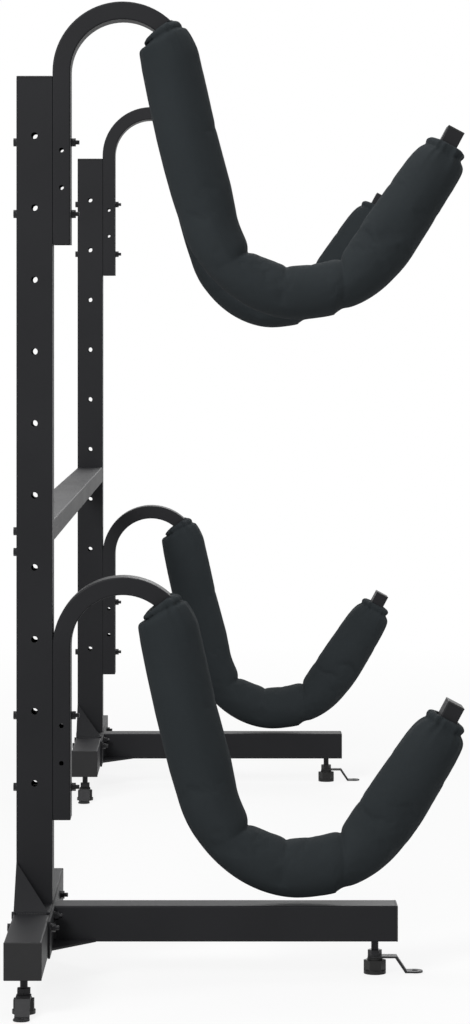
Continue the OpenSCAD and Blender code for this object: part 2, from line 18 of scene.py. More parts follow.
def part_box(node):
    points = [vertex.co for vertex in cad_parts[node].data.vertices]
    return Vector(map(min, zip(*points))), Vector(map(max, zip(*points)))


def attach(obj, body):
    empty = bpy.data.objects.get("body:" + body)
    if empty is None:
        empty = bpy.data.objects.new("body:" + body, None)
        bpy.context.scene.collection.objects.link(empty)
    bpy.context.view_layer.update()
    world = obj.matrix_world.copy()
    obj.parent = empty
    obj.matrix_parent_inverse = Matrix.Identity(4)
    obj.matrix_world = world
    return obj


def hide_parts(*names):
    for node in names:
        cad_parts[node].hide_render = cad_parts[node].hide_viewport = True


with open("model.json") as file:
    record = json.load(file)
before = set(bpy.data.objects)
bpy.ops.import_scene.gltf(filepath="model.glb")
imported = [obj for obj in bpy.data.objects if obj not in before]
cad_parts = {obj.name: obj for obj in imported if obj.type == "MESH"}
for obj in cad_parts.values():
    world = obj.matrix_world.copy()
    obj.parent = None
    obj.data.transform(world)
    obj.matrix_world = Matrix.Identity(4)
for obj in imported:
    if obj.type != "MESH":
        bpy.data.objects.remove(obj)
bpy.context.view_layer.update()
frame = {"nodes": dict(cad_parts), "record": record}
MM = 0.001

# %% [markdown]
# The two frames and the two rows of arms are alike, so most steps below loop over sides and rows.
# The left frame is the one nearer the camera. Positions are always read off the steelwork itself,
# so no piece has to be fitted by eye.

# %% Names of the sides and rows
SIDES = ("left", "right")
ROWS = ("upper", "lower")
for side in SIDES:
    post_low, post_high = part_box(f"{side}_post")
    print(side, "post stands at y", round((post_low.y + post_high.y) / 2, 4))


# %% [markdown]
# ## Camera
# The photograph looks level along the kayaks. Upright edges stay upright, which means that the
# lens was shifted down instead of the camera being tilted, so the same shift is used here.

# %% Camera
VANISHING_POINT = (215.7, 345.4)  # pixels, where lines along the kayaks meet
PHOTO_SIZE = (470, 1024)
FOCAL_PIXELS = 3248
camera_place = Vector((-0.0318, -5.536, 0.8765))

camera_data = bpy.data.cameras.new("photo_camera")
camera = bpy.data.objects.new("photo_camera", camera_data)
bpy.context.scene.collection.objects.link(camera)
camera.location = camera_place
camera.rotation_euler = (math.radians(90), 0, 0)
camera_data.lens = FOCAL_PIXELS / PHOTO_SIZE[1] * camera_data.sensor_width
camera_data.shift_x = (PHOTO_SIZE[0] / 2 - VANISHING_POINT[0]) / PHOTO_SIZE[1]
camera_data.shift_y = -(PHOTO_SIZE[1] / 2 - VANISHING_POINT[1]) / PHOTO_SIZE[1]
camera_data.clip_end = 100
bpy.context.scene.camera = camera
print("lens", round(camera_data.lens, 1), "mm")

# %% [markdown]
# ## Shader sums
# A finish is mostly arithmetic on patterns. Wrapping a socket in a small class lets that arithmetic
# be written as plain Python, and each sum adds its own Math node. The reflected forms, such as
# `__rsub__`, are what makes `1 - mask` work.


# %% Sockets that can be added and multiplied
class Value:
    """A shader socket that can be used in sums."""

    def __init__(self, nodes, socket):
        self.nodes = nodes
        self.socket = socket

    def sum(self, operation, first, second=0.0):
        return self.nodes.add("ShaderNodeMath", {"operation": operation}, {0: first, 1: second})

    def __add__(self, other):
        return self.sum("ADD", self, other)

    def __sub__(self, other):
        return self.sum("SUBTRACT", self, other)

    def __rsub__(self, other):
        return self.sum("SUBTRACT", other, self)

    def __mul__(self, other):
        return self.sum("MULTIPLY", self, other)

    __radd__ = __add__
    __rmul__ = __mul__

    def sine(self):
        return self.sum("SINE", self)

    def size(self):
        return self.sum("ABSOLUTE", self)

    def larger(self, other):
        return self.sum("MAXIMUM", self, other)

    def above(self, other):
        return self.sum("GREATER_THAN", self, other)


# %% [markdown]
# Every other node is added by one method. It takes the node's type, its settings, which have to be
# set before anything is joined, and what goes into its sockets: a number, a colour or a link.


# %% Adding nodes to a tree
class Nodes:
    """A node tree and the one way in which nodes are added to it."""

    def __init__(self, tree):
        self.tree = tree

    def add(self, kind, settings=None, sockets=None, output=0):
        node = self.tree.nodes.new(kind)
        for key, value in (settings or {}).items():
            if key == "stops":
                self.set_stops(node.color_ramp, value)
            else:
                setattr(node, key, value)
        for key, value in (sockets or {}).items():
            self.join(node.inputs[key], value)
        return Value(self, node.outputs[output])

    def set_stops(self, ramp, stops):
        while len(ramp.elements) < len(stops):
            ramp.elements.new(0.5)
        for element, (position, shade) in zip(ramp.elements, stops):
            element.position = position
            element.color = (shade, shade, shade, 1)

    def join(self, socket, value):
        if isinstance(value, Value):
            self.tree.links.new(value.socket, socket)
        else:
            socket.default_value = value


# %% [markdown]
# A finish is a material with its own tree. The patterns that come back in every finish get a short
# method each: a place on the object, a noise, a ramp, a blend of two colours and a bump.


# %% A finish and its patterns
class Finish(Nodes):
    """A material whose main shader is fed by patterns."""

    def __init__(self, name, **constants):
        self.material = bpy.data.materials.new(name)
        self.material.use_nodes = True
        super().__init__(self.material.node_tree)
        self.shader = self.tree.nodes["Principled BSDF"]
        for socket, value in constants.items():
            self.feed(socket.replace("_", " "), value)

    def feed(self, socket, value):
        self.join(self.shader.inputs[socket], value)

    def place(self, uv=False):
        return self.add("ShaderNodeTexCoord", output="UV" if uv else "Object")

    def noise(self, where, scale, detail=2.0, roughness=0.5):
        sockets = {"Vector": where, "Scale": scale, "Detail": detail, "Roughness": roughness}
        return self.add("ShaderNodeTexNoise", None, sockets)

    def ramp(self, value, *stops):
        return self.add("ShaderNodeValToRGB", {"stops": stops}, {"Fac": value})

    def blend(self, share, first, second):
        """Mixes two colours by a share from 0 to 1."""
        sockets = {"Factor": share, 6: (*first, 1), 7: (*second, 1)}
        return self.add("ShaderNodeMix", {"data_type": "RGBA"}, sockets, output=2)

    def bump(self, height, depth, strength=1.0):
        sockets = {"Height": height, "Distance": depth, "Strength": strength}
        self.feed("Normal", self.add("ShaderNodeBump", None, sockets))


# %% [markdown]
# ## Powder coat
# The frame is steel with a baked black powder coat. Up close the coat has a fine orange peel, a few
# slow waves from the spray, and rubs a little duller where hands hold it. Peel is bump, and the
# slow changes go into roughness and colour.

# %% Powder coat
COAT_DARK = (0.0085, 0.0086, 0.0097)
COAT_LIGHT = (0.0135, 0.0138, 0.0153)


def powder_coat():
    coat = Finish("frame_powder_coat", Specular_IOR_Level=0.12)
    where = coat.place()
    peel = coat.noise(where, 620, 1.0)
    grain = coat.noise(where, 2400, 1.0)
    slow = coat.noise(where, 7, 3.0)
    coat.feed("Base Color", coat.blend(slow, COAT_DARK, COAT_LIGHT))
    coat.feed("Roughness", 0.43 + 0.1 * slow + 0.05 * grain)
    coat.bump(peel + 0.35 * grain, 0.05 * MM, 0.6)
    return coat.material


paint = powder_coat()
print("made", paint.name)

# %% [markdown]
# ## Plastic
# The tube caps and feet are moulded with a fine spark-eroded grain. The grain is far too fine to
# model, so it is bump, and slow changes in colour and roughness stand for handling.


# %% Moulded plastic
def moulded(name, colour, rough):
    plastic = Finish(name, Specular_IOR_Level=0.25)
    where = plastic.place()
    grain = plastic.noise(where, 1500, 2.0)
    slow = plastic.noise(where, 22, 2.0)
    paler = tuple(c * 1.5 + 0.002 for c in colour)
    plastic.feed("Base Color", plastic.blend(slow, colour, paler))
    plastic.feed("Roughness", rough + 0.14 * slow)
    plastic.bump(grain, 0.06 * MM, 0.7)
    return plastic.material


cap_plastic = moulded("cap_plastic", (0.0075, 0.0075, 0.0080), 0.46)
foot_plastic = moulded("foot_plastic", (0.0055, 0.0055, 0.0055), 0.40)

# %% [markdown]
# ## Blackened steel
# Bolts, nuts and stems are blackened steel, a little oily and uneven. The floor straps have the
# same treatment, worn paler. Scratches are a noise squeezed into long streaks and cut by a ramp.

# %% Blackened steel
SCRATCH_SCALE = (60, 60, 1400)


def fastener_steel(name, dark, light, rough, metal):
    steel = Finish(name, Metallic=metal, Specular_IOR_Level=0.25)
    where = steel.place()
    blotch = steel.noise(where, 120, 4.0, 0.6)
    stretched = steel.add("ShaderNodeMapping", None, {"Vector": where, "Scale": SCRATCH_SCALE})
    scratch = steel.noise(stretched, 1.0, 2.0)
    mark = steel.ramp(scratch, (0.60, 0.0), (0.72, 1.0))
    steel.feed("Base Color", steel.blend(blotch * 0.7 + 0.3 * mark, dark, light))
    steel.feed("Roughness", rough + 0.22 * blotch)
    steel.bump(blotch + 0.4 * scratch, 0.04 * MM, 0.6)
    return steel.material


BOLT_DARK = (0.004, 0.004, 0.0045)
BOLT_LIGHT = (0.030, 0.030, 0.033)
STRAP_DARK = (0.008, 0.008, 0.0085)
STRAP_LIGHT = (0.036, 0.036, 0.038)
black_steel = fastener_steel("black_fastener", BOLT_DARK, BOLT_LIGHT, 0.26, 0.35)
strap_steel = fastener_steel("strap_steel", STRAP_DARK, STRAP_LIGHT, 0.40, 0.4)
print("made", cap_plastic.name, foot_plastic.name, black_steel.name, strap_steel.name)

# %% [markdown]
# Each node takes the finish of its slot in the record. Most nodes are later replaced by a copy
# with rounded edges, but the hidden ones, such as the tongues in the crossbar, stay. The cloth is
# left for later, because its weave follows the sleeve.

# %% Give every node its finish
slot_finish = {
    "frame_paint": paint,
    "cap_plastic": cap_plastic,
    "foot_plastic": foot_plastic,
    "black_fastener": black_steel,
    "strap_steel": strap_steel,
}
node_slot = {row["node"]: row["material_slot"] for row in frame["record"]["subparts"]}


def give_finish(slot_name, material):
    """Puts a finish on every node of one slot."""
    nodes = [name for name, slot in node_slot.items() if slot == slot_name]
    for name in nodes:
        for slot in frame["nodes"][name].material_slots:
            slot.material = material
    print(slot_name, "is on", len(nodes), "nodes")


for slot_name, material in slot_finish.items():
    give_finish(slot_name, material)


# %% [markdown]
# ## Rounded steelwork
# Rolled tube has rounded corners, sawn ends are only deburred, and a punched hole has a faint
# rolled lip. Those small curves catch the light, and drawings leave them out. A copy of each
# node is merged, its flat triangles are joined, and its outer edges are bevelled.

# %% Copy a node as a clean mesh
SAME_PLACE = 0.03 * MM
NO_LENGTH = 0.001 * MM
FLAT = math.radians(0.4)


def merged_copy(node_name):
    """The node's mesh with shared corners and whole flat faces."""
    bm = bmesh.new()
    bm.from_mesh(frame["nodes"][node_name].data)
    bmesh.ops.remove_doubles(bm, verts=bm.verts, dist=SAME_PLACE)
    bmesh.ops.dissolve_degenerate(bm, edges=bm.edges, dist=NO_LENGTH)
    bmesh.ops.dissolve_limit(bm, angle_limit=FLAT, verts=bm.verts, edges=bm.edges)
    return bm


def outer_edges(bm, turn=35):
    """Edges that stick out and turn by more than turn degrees."""
    least = math.radians(turn)
    return [e for e in bm.edges if len(e.link_faces) == 2 and e.is_convex
            and e.calc_face_angle(0.0) > least]


def round_edges(bm, edges, radius, segments):
    if edges:
        bmesh.ops.bevel(bm, geom=edges, offset=radius, offset_type="OFFSET", affect="EDGES",
                        segments=segments, profile=0.5, material=-1, clamp_overlap=True)


# %% [markdown]
# Sharp edges are sorted into groups that touch, and told apart by their reach: the rim of a bolt
# hole is a small loop, and a tube's corners and ends make a large one.


# %% Tell rims from tube corners
def edge_groups(edges):
    """Sorts edges into groups that touch."""
    waiting = set(edges)
    groups = []
    while waiting:
        group = []
        front = [waiting.pop()]
        while front:
            edge = front.pop()
            group.append(edge)
            touching = {e for v in edge.verts for e in v.link_edges} & waiting
            waiting -= touching
            front += touching
        groups.append(group)
    return groups


def reach_of(group):
    points = [v.co for e in group for v in e.verts]
    return max(max(p[i] for p in points) - min(p[i] for p in points) for i in range(3))


# %% [markdown]
# Every new piece is finished in the same way: one mesh, one material, smooth shading with its sharp
# edges kept, and large faces that stay flat. Then it rides on its body and replaces its node.


# %% Make a finished piece
def finish_piece(name, bm, material, body, replaced=(), smooth=30):
    """Makes a named, shaded object of bm and puts it on its body."""
    mesh = bpy.data.meshes.new(name)
    bm.to_mesh(mesh)
    bm.free()
    mesh.materials.append(material)
    mesh.shade_smooth()
    mesh.set_sharp_from_angle(angle=math.radians(smooth))
    piece = bpy.data.objects.new(name, mesh)
    bpy.context.scene.collection.objects.link(piece)
    even = piece.modifiers.new("flat_faces_stay_flat", "WEIGHTED_NORMAL")
    even.keep_sharp = True
    even.weight = 100
    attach(piece, body)
    if replaced:
        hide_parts(*replaced)
    return piece


# %% [markdown]
# Tube corners get the outside radius of cold-formed tube, and hole rims a small lip. Only edges
# along the tube are rolled. The crossbar's sawn ends meet, so they are rounded a little as well.

# %% Rolled tube corners
RIM_REACH = 20 * MM
RIM_RADIUS = 0.4 * MM
TUBE_CORNER = 2.5 * MM
CROSSBAR_END_RADIUS = 0.9 * MM
LONG_EDGE = 8 * MM
HAIR = 0.01 * MM
NEAR_END = 0.1 * MM


def node_body(node_name):
    """The body that carries a node."""
    bodies = frame["record"]["behaviour"]["bodies"]
    rows = bodies.items() if isinstance(bodies, dict) else [(b["name"], b["nodes"]) for b in bodies]
    return next(body for body, nodes in rows if node_name in nodes)


def sawn_ends(bm, is_corner):
    """The edges round both ends of a tube that lies along the kayaks."""
    found = []
    for edge in outer_edges(bm, 60):
        if reach_of([edge]) > LONG_EDGE or not is_corner(edge):
            along = [v.co.y for v in edge.verts]
            found.append((edge, min(along), max(along)))
    first = min(low for edge, low, high in found) + NEAR_END
    last = max(high for edge, low, high in found) - NEAR_END
    return [edge for edge, low, high in found if high - low < HAIR and (high > last or low < first)]


def rolled_tube(node_name, is_corner, radius, end_radius=0.0):
    """Copy of a tube: rolled corners where is_corner says so, lightly rounded rims and ends."""
    bm = merged_copy(node_name)
    rims = []
    rest = []
    for group in edge_groups(outer_edges(bm)):
        (rims if reach_of(group) < RIM_REACH else rest).extend(group)
    round_edges(bm, [e for e in rest if is_corner(e)], radius, 4)
    round_edges(bm, [e for e in rims if e.is_valid], RIM_RADIUS, 2)
    if end_radius:
        round_edges(bm, sawn_ends(bm, is_corner), end_radius, 2)
    body = node_body(node_name)
    return finish_piece(f"{node_name}_tube", bm, paint, body, [node_name])


# %% [markdown]
# The posts stand up, the rails and the crossbar lie along the kayaks, and the legs reach out under
# the cradles. So each kind of tube says along which axis its corners run.


# %% Posts, rails, legs and crossbar
def runs_along(axis):
    """Says whether an edge runs along one axis for more than a hole's width."""
    def check(edge):
        run = edge.verts[1].co - edge.verts[0].co
        return run.length > 2 * MM and abs(run[axis]) > 0.999 * run.length
    return check


tubes = []
for side in SIDES:
    tubes.append(rolled_tube(f"{side}_post", runs_along(2), TUBE_CORNER))
    tubes.append(rolled_tube(f"{side}_base_rail", runs_along(1), TUBE_CORNER))
    tubes.append(rolled_tube(f"{side}_leg", runs_along(0), TUBE_CORNER))
for name in ("left_crossbar", "middle_crossbar", "right_crossbar"):
    tubes.append(rolled_tube(name, runs_along(1), TUBE_CORNER, CROSSBAR_END_RADIUS))
print("tubes:", {t.name: len(t.data.polygons) for t in tubes})

# %% [markdown]
# ## Arms
# An arm is one oblong tube bent twice. Its corners follow the bends, so they are found by their
# distance from the tube's middle plane instead of by direction.

# %% Bent arm tubes
ARM_T = 25 * MM
ARM_HALF_W = 25 * MM
ARM_CORNER = 2.2 * MM
ARM_STRAIGHT = 240 * MM
HOOK_R = 85 * MM
TIP_LEAN = math.radians(28)
ARM_TOP_ABOVE_BASE = ARM_STRAIGHT + HOOK_R + ARM_T / 2
ON_SIDE = 0.05 * MM
END_MARGIN = 0.2 * MM
BACK_REACH = 30 * MM
TIP_REACH = 40 * MM


def arm_corner_check(node_name):
    """Gives a test for the corner edges of one arm."""
    low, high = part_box(node_name)
    middle_y = (low.y + high.y) / 2
    bottom = high.z - ARM_TOP_ABOVE_BASE
    tip_way = Vector((math.sin(TIP_LEAN), 0, math.cos(TIP_LEAN)))
    points = [v.co for v in frame["nodes"][node_name].data.vertices]
    tip_end = max(p.dot(tip_way) for p in points if p.x > high.x - TIP_REACH)

    def at_side(v):
        return abs(abs(v.co.y - middle_y) - ARM_HALF_W) < ON_SIDE

    def at_end(v):
        at_bottom = abs(v.co.z - bottom) < END_MARGIN and v.co.x < low.x + BACK_REACH
        return at_bottom or v.co.dot(tip_way) > tip_end - END_MARGIN and v.co.x > high.x - TIP_REACH

    def check(edge):
        return all(at_side(v) for v in edge.verts) and not all(at_end(v) for v in edge.verts)
    return check


for side in SIDES:
    for row in ROWS:
        name = f"{side}_{row}_arm"
        arm = rolled_tube(name, arm_corner_check(name), ARM_CORNER)
        print(arm.name, len(arm.data.polygons), "faces")


# %% [markdown]
# ## Plates, caps and fasteners
# Plates are cut and lightly broken along their edges. Caps are moulded with a soft edge that shows
# as a fine line where they meet the tube. Bolt heads and nuts are chamfered at their corners.


# %% Softened small parts
def softened(node_name, radius, segments):
    """Copy of a small part with its outer edges rounded."""
    bm = merged_copy(node_name)
    round_edges(bm, outer_edges(bm), radius, segments)
    slot = node_slot[node_name]
    body = node_body(node_name)
    return finish_piece(f"{node_name}_soft", bm, slot_finish[slot], body, [node_name])


small_parts = [  # node, radius in mm, segments
    ("post_caps", 1.0, 3), ("base_rail_caps", 1.0, 3), ("leg_caps", 1.0, 3), ("arm_tip_caps", 0.8, 3),
    ("left_post_gussets", 0.5, 2), ("right_post_gussets", 0.5, 2),
    ("left_leg_bracket", 0.5, 2), ("right_leg_bracket", 0.5, 2),
    ("arm_bolts", 0.35, 2), ("arm_nuts", 0.35, 2), ("leg_bolts", 0.35, 2), ("leg_nuts", 0.35, 2),
    ("crossbar_bolts", 0.35, 2),
]
SPOTS = ("front", "back", "leg")
for side in SIDES:
    for spot in SPOTS:
        small_parts.append((f"{side}_{spot}_foot", 0.7, 3))
        small_parts.append((f"{side}_{spot}_strap", 0.45, 2))
for name, radius_mm, segments in small_parts:
    softened(name, radius_mm * MM, segments)
print("softened", len(small_parts), "nodes")

# %% [markdown]
# ## Threads on the feet
# Each levelling foot hangs on an M10 stem. A real thread climbs as it goes round, so a small
# triangle is spun round the stem while it rises by one pitch a turn.

# %% Screw threads
PITCH = 1.5 * MM
THREAD_IN = 4.4 * MM
THREAD_OUT = 5.2 * MM
THREAD_STEPS = 20  # in one turn
THREAD_START = 26 * MM  # above the floor end of the stem
THREAD_STOP = 0.5 * MM  # below its top


def thread(name, axis, low, high, body):
    """A thread round an upright axis, from low to high."""
    bm = bmesh.new()
    turns = int((high - low) / PITCH)
    crest = [(THREAD_OUT, PITCH * 0.42), (THREAD_OUT, PITCH * 0.58)]
    profile = [(THREAD_IN, 0.0), *crest, (THREAD_IN, PITCH)]
    verts = [bm.verts.new((axis.x + r, axis.y, low + z)) for r, z in profile]
    edges = [bm.edges.new(pair) for pair in zip(verts, verts[1:])]
    bmesh.ops.spin(bm, geom=verts + edges, cent=(axis.x, axis.y, 0), axis=(0, 0, 1),
                   dvec=(0, 0, PITCH / THREAD_STEPS), angle=math.tau * turns,
                   steps=THREAD_STEPS * turns, use_duplicate=False)
    bmesh.ops.recalc_face_normals(bm, faces=bm.faces)
    return finish_piece(name, bm, black_steel, body, smooth=40)


for side in SIDES:
    for spot in SPOTS:
        stem = f"{side}_{spot}_stem"
        low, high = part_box(stem)
        start = low.z + THREAD_START
        thread(f"{stem}_thread", (low + high) / 2, start, high.z - THREAD_STOP, node_body(stem))
print("cut", 2 * len(SPOTS), "threads")

# %% [markdown]
# ## Weld beads
# The leg is welded to its plate and the gussets to the rail. A bead is laid in small overlapping
# puddles, so its thickness rises and falls every few millimetres. It is painted with the frame.

# %% Weld beads
BEAD = 2.4 * MM
PUDDLE = 3.6 * MM
WELD_STEP = 0.6 * MM
WANDER = 6 * MM  # distance over which a bead's thickness wanders


def weld(name, start, end, seed):
    """A bead of overlapping puddles from start to end."""
    start = Vector(start)
    end = Vector(end)
    way = (end - start).normalized()
    turn = way.to_track_quat("Z", "Y").to_matrix().to_4x4()
    steps = round((end - start).length / WELD_STEP)
    bm = bmesh.new()
    bmesh.ops.create_circle(bm, cap_ends=False, segments=12, radius=1)
    shape = [v.co.copy() for v in bm.verts]
    ring = list(bm.verts)
    edges = list(bm.edges)
    for i in range(steps + 1):
        if i:
            made = bmesh.ops.extrude_edge_only(bm, edges=edges)["geom"]
            ring = [g for g in made if isinstance(g, bmesh.types.BMVert)]
            edges = [g for g in made if isinstance(g, bmesh.types.BMEdge)
                     and all(v in set(ring) for v in g.verts)]
        run = i * WELD_STEP
        wander = noise.noise(Vector((seed, run / WANDER, 0)))
        thickness = 0.80 + 0.2 * abs(math.sin(math.pi * run / PUDDLE)) + 0.10 * wander
        taper = min(1.0, 0.25 + 0.3 * min(i, steps - i))
        place = Matrix.Translation(start + way * run) @ turn
        for vert, around in zip(ring, shape):
            vert.co = place @ (around * BEAD * thickness * taper)
    bmesh.ops.holes_fill(bm, edges=[e for e in bm.edges if e.is_boundary], sides=12)
    bmesh.ops.recalc_face_normals(bm, faces=bm.faces)
    return finish_piece(name, bm, paint, "rack", smooth=60)


# %% [markdown]
# The beads stop a little short of the edges that they join, as a welder's do.

# %% Lay the beads
WELD_SHORT = 3 * MM
for side in SIDES:
    leg_low, leg_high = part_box(f"{side}_leg")
    for y, where in ((leg_low.y, "near"), (leg_high.y, "far")):
        low_end = (leg_low.x, y, leg_low.z + WELD_SHORT)
        weld(f"{side}_leg_weld_{where}", low_end, (leg_low.x, y, leg_high.z - WELD_SHORT), leg_low.y + y)
    low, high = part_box(f"{side}_post_gussets")
    for y, where in ((low.y, "near"), (high.y, "far")):
        left_end = (low.x + WELD_SHORT, y, low.z)
        weld(f"{side}_gusset_weld_{where}", left_end, (high.x - WELD_SHORT, y, low.z), y)
print("laid 8 weld beads")

# %% [markdown]
# ## Padded sleeves
# Each cradle is covered by a thick foam tube in a cloth sleeve. The sleeve is cut as a long tube,
# pulled over the bent arm and gathered at both ends by a cord in the hem. On the inside of the
# bend the cloth and foam buckle into two soft bulges between three creases.
#
# First comes the line that the sleeve follows: the arm's middle line, from the hook to the tip.

# %% The arm's middle line
BACK_LEAN = math.radians(11)
BACK_LEN = 222 * MM
BOWL_R = 136 * MM
TIP_LEN = 178 * MM
TIP_BARE = 21 * MM
HOOK_BARE = math.radians(131)

hook_middle = Vector((HOOK_R, ARM_STRAIGHT))
lean_out = Vector((math.cos(BACK_LEAN), math.sin(BACK_LEAN)))
back_way = Vector((math.sin(BACK_LEAN), -math.cos(BACK_LEAN)))
back_top = hook_middle + HOOK_R * lean_out
bowl_middle = back_top + BACK_LEN * back_way + BOWL_R * lean_out
tip_start = bowl_middle + BOWL_R * Vector((math.cos(TIP_LEAN), -math.sin(TIP_LEAN)))
tip_way = Vector((math.sin(TIP_LEAN), math.cos(TIP_LEAN)))
hook_run = (math.pi - BACK_LEAN - HOOK_BARE) * HOOK_R
bowl_turn = math.pi - BACK_LEAN - TIP_LEAN
bowl_run = bowl_turn * BOWL_R
tip_run = TIP_LEN - TIP_BARE
back_end = hook_run + BACK_LEN
bowl_end = back_end + bowl_run
sleeve_len = bowl_end + tip_run
print("sleeve is", round(sleeve_len, 3), "m long")

# %% [markdown]
# A distance along the sleeve then falls on the hook, the back, the bowl or the tip, and each of
# them gives a point and the direction in which the kayak lies.


# %% A point on the arm's line
def on_arm(s):
    """Point and unit normal, towards the kayak, at distance s along the sleeve, in the arm's plane."""
    if s < hook_run:
        turn = math.pi - HOOK_BARE - s / HOOK_R
        out = Vector((math.cos(turn), math.sin(turn)))
        return hook_middle + HOOK_R * out, out
    if s < back_end:
        return back_top + (s - hook_run) * back_way, lean_out
    if s < bowl_end:
        turn = math.pi + BACK_LEAN + (s - back_end) / BOWL_R
        out = Vector((math.cos(turn), math.sin(turn)))
        return bowl_middle + BOWL_R * out, -out
    return tip_start + (s - bowl_end) * tip_way, Vector((-math.cos(TIP_LEAN), math.sin(TIP_LEAN)))


# %% [markdown]
# The padding isn't even round the arm. It hangs outwards behind the long side, and lies on the
# kayak's side along the tip. Short lists say, at distances along the sleeve in mm, how far its
# middle is shifted, how thick it is, how it widens behind the hem at each end, and how much is
# trimmed off the outside. Measured outlines are easier to follow with a list than with a formula.

# %% How thick the padding is
SHIFT = [(0, -8), (11, -9), (20, -15.5), (58, -18), (99, -17), (160, -15), (240, -10), (278, -8),
         (335, -6), (372, -5.5), (405, -2.5), (448, 1), (476, 3.5), (532, 4.5), (579, 8.5), (622, 7.5),
         (687, 2.3), (765, 0)]
HALF = [(0, 41), (25, 43.5), (58, 42.5), (99, 43), (240, 43), (278, 41), (335, 39), (372, 37.5),
        (405, 39.5), (448, 41), (532, 41.5), (622, 43.5), (687, 42.3), (765, 41)]
HALF_W = 43.5 * MM
HEM_GATHER = [(0, 0.55), (2, 0.635), (4.4, 0.672), (7, 0.675), (9.4, 0.655), (11.4, 0.635)]
GATHER = {  # how the padding widens behind the hem
    ("hook", "inside"): [(11.4, 0.635), (13.2, 0.68), (15.2, 0.80), (20, 0.885), (28, 0.906),
                         (38, 0.946), (45, 0.972), (58, 1.0)],
    ("hook", "outside"): [(11.4, 0.635), (13.2, 0.66), (15.2, 0.75), (18, 0.86), (22, 0.93),
                          (28, 0.97), (38, 0.99), (52, 1.0)],
    ("tip", "inside"): [(11.4, 0.635), (13.2, 0.65), (15.2, 0.70), (20, 0.78), (30, 0.87),
                        (45, 0.94), (75, 1.0)],
    ("tip", "outside"): [(11.4, 0.635), (13.2, 0.655), (15.2, 0.73), (18, 0.82), (22, 0.89),
                         (28, 0.94), (38, 0.975), (52, 1.0)],
}
TRIM = {  # how much less padding there is on the outside
    "lower": [(240, 0), (520, 1), (590, 5), (640, 3.5), (715, 2), (750, 0)],
    "upper": [(200, 2), (300, 5), (400, 7), (500, 8), (560, 9.5), (620, 10), (670, 9), (715, 5),
              (745, 1.5), (760, 0)],
}


def read_keys(keys, where):
    """Reads a list of (place in mm, value) at a place in metres."""
    places, values = zip(*keys)
    return float(np.interp(where / MM, places, values))


print("thickest padding:", 2 * max(half for place, half in HALF), "mm")

# %% [markdown]
# A crease is a sharp dip across the sleeve: deep on the inside of the bend and fading round it.
# Each has a place along the sleeve, a depth, a width, a lean and how quickly it fades. The last
# one runs right round, because there the cloth of the tip folds over the cloth of the bowl.

# %% Creases over the bend
CREASES = [  # place inside the bend, depth, width, lean, share left on the outside
    (351, 11.0, 11.0, 6, 0.0),
    (423, 4.2, 8.5, -5, 0.0),
    (532, 8.0, 9.0, 15, 0.30),
]
LEAN_SPREAD = 26  # mm on each side of a crease


def crease_dip(s, turn):
    """How far the cloth dips at station s and turn round the sleeve, where turn 0 is the inside."""
    inside = (1 + math.cos(turn)) / 2
    dip = 0.0
    for place, depth, width, lean, left in CREASES:
        along = abs(s / MM - place) / width
        dip += depth * math.exp(-along) * (left + (1 - left) * inside ** 2)
    return dip * MM


def leaned(s, turn):
    """Moves a station along the sleeve so that the ring at a crease leans with it."""
    for place, depth, width, lean, left in CREASES:
        near = math.exp(-(((s / MM - place) / LEAN_SPREAD) ** 2))
        s += lean * near * (math.cos(turn) - 1) * MM
    return s


print("creases at", [row[0] for row in CREASES], "mm")

# %% [markdown]
# The gathers at the hems are small pleats of uneven width. Noise read round a circle gives pleats
# that join up with no seam, and the same numbers every time.

# %% Pleats in the gathered ends
PLEATS = 13
PLEAT_DEPTH = 2.5 * MM
PLEAT_START = 13 * MM
PLEAT_FADE = 18 * MM
UNEVENNESS = 1.6


def pleat(turn, from_end, seed):
    """Height of the pleats at a turn round the sleeve and a distance from its end."""
    fade = math.exp(-max(from_end - PLEAT_START, 0) / PLEAT_FADE)
    ring = Vector((math.cos(turn), math.sin(turn), seed)) * UNEVENNESS
    wobble = 2.4 * noise.noise(ring)
    strength = 0.6 + 0.8 * noise.noise(ring + Vector((7, 3, 1)))
    return PLEAT_DEPTH * fade * strength * math.cos(PLEATS * turn + wobble * 2)


# %% [markdown]
# The skin is one ring of edges, extruded from station to station along the arm. It starts inside
# the mouth of the channel, close to the steel, rolls out over the hem and runs to the other end.
# Stations are spread so that one falls on each crease.

# %% Stations along the sleeve
STEP = 4.2 * MM
HEM = [(7.0, 0.0), (3.2, 0.0), (1.6, 0.16), (0.4, 0.40), (-0.4, 0.64), (-0.1, 0.84), (0.8, 0.95)]
ENDS = [2.0, 4.4, 7.0, 9.4, 11.4, 13.2, 15.2, 18, 22]


def stations():
    """(distance along the sleeve, share of the way from the channel out to the skin)"""
    mouth = [(d * MM, share) for d, share in HEM]
    near = [(d * MM, 1.0) for d in ENDS]
    stops = [ENDS[-1] * MM] + [row[0] * MM for row in CREASES] + [sleeve_len - ENDS[-1] * MM]
    run = []
    for start, stop in zip(stops, stops[1:]):
        count = round((stop - start) / STEP)
        run += [start + (stop - start) * i / count for i in range(1, count + 1)]
    far = [(sleeve_len - s, share) for s, share in reversed(mouth + near)]
    return mouth + near + [(s, 1.0) for s in run[:-1]] + far


print(len(stations()), "stations")

# %% [markdown]
# A ring is a superellipse, a circle pushed towards a square by a higher power. The channel is
# nearly square, as the arm is. The skin is squarer beside the hems, where it lies on the steel, and
# round further in.

# %% The channel and the skin of one ring
CHANNEL_ROOM = 1.0 * MM
CHANNEL_POWER = 8
EXTRA_POWER = 1.2
POWER_FADE = 30 * MM
ACROSS_GATHER = 0.5  # the tube is wider across, so the hem gathers less there


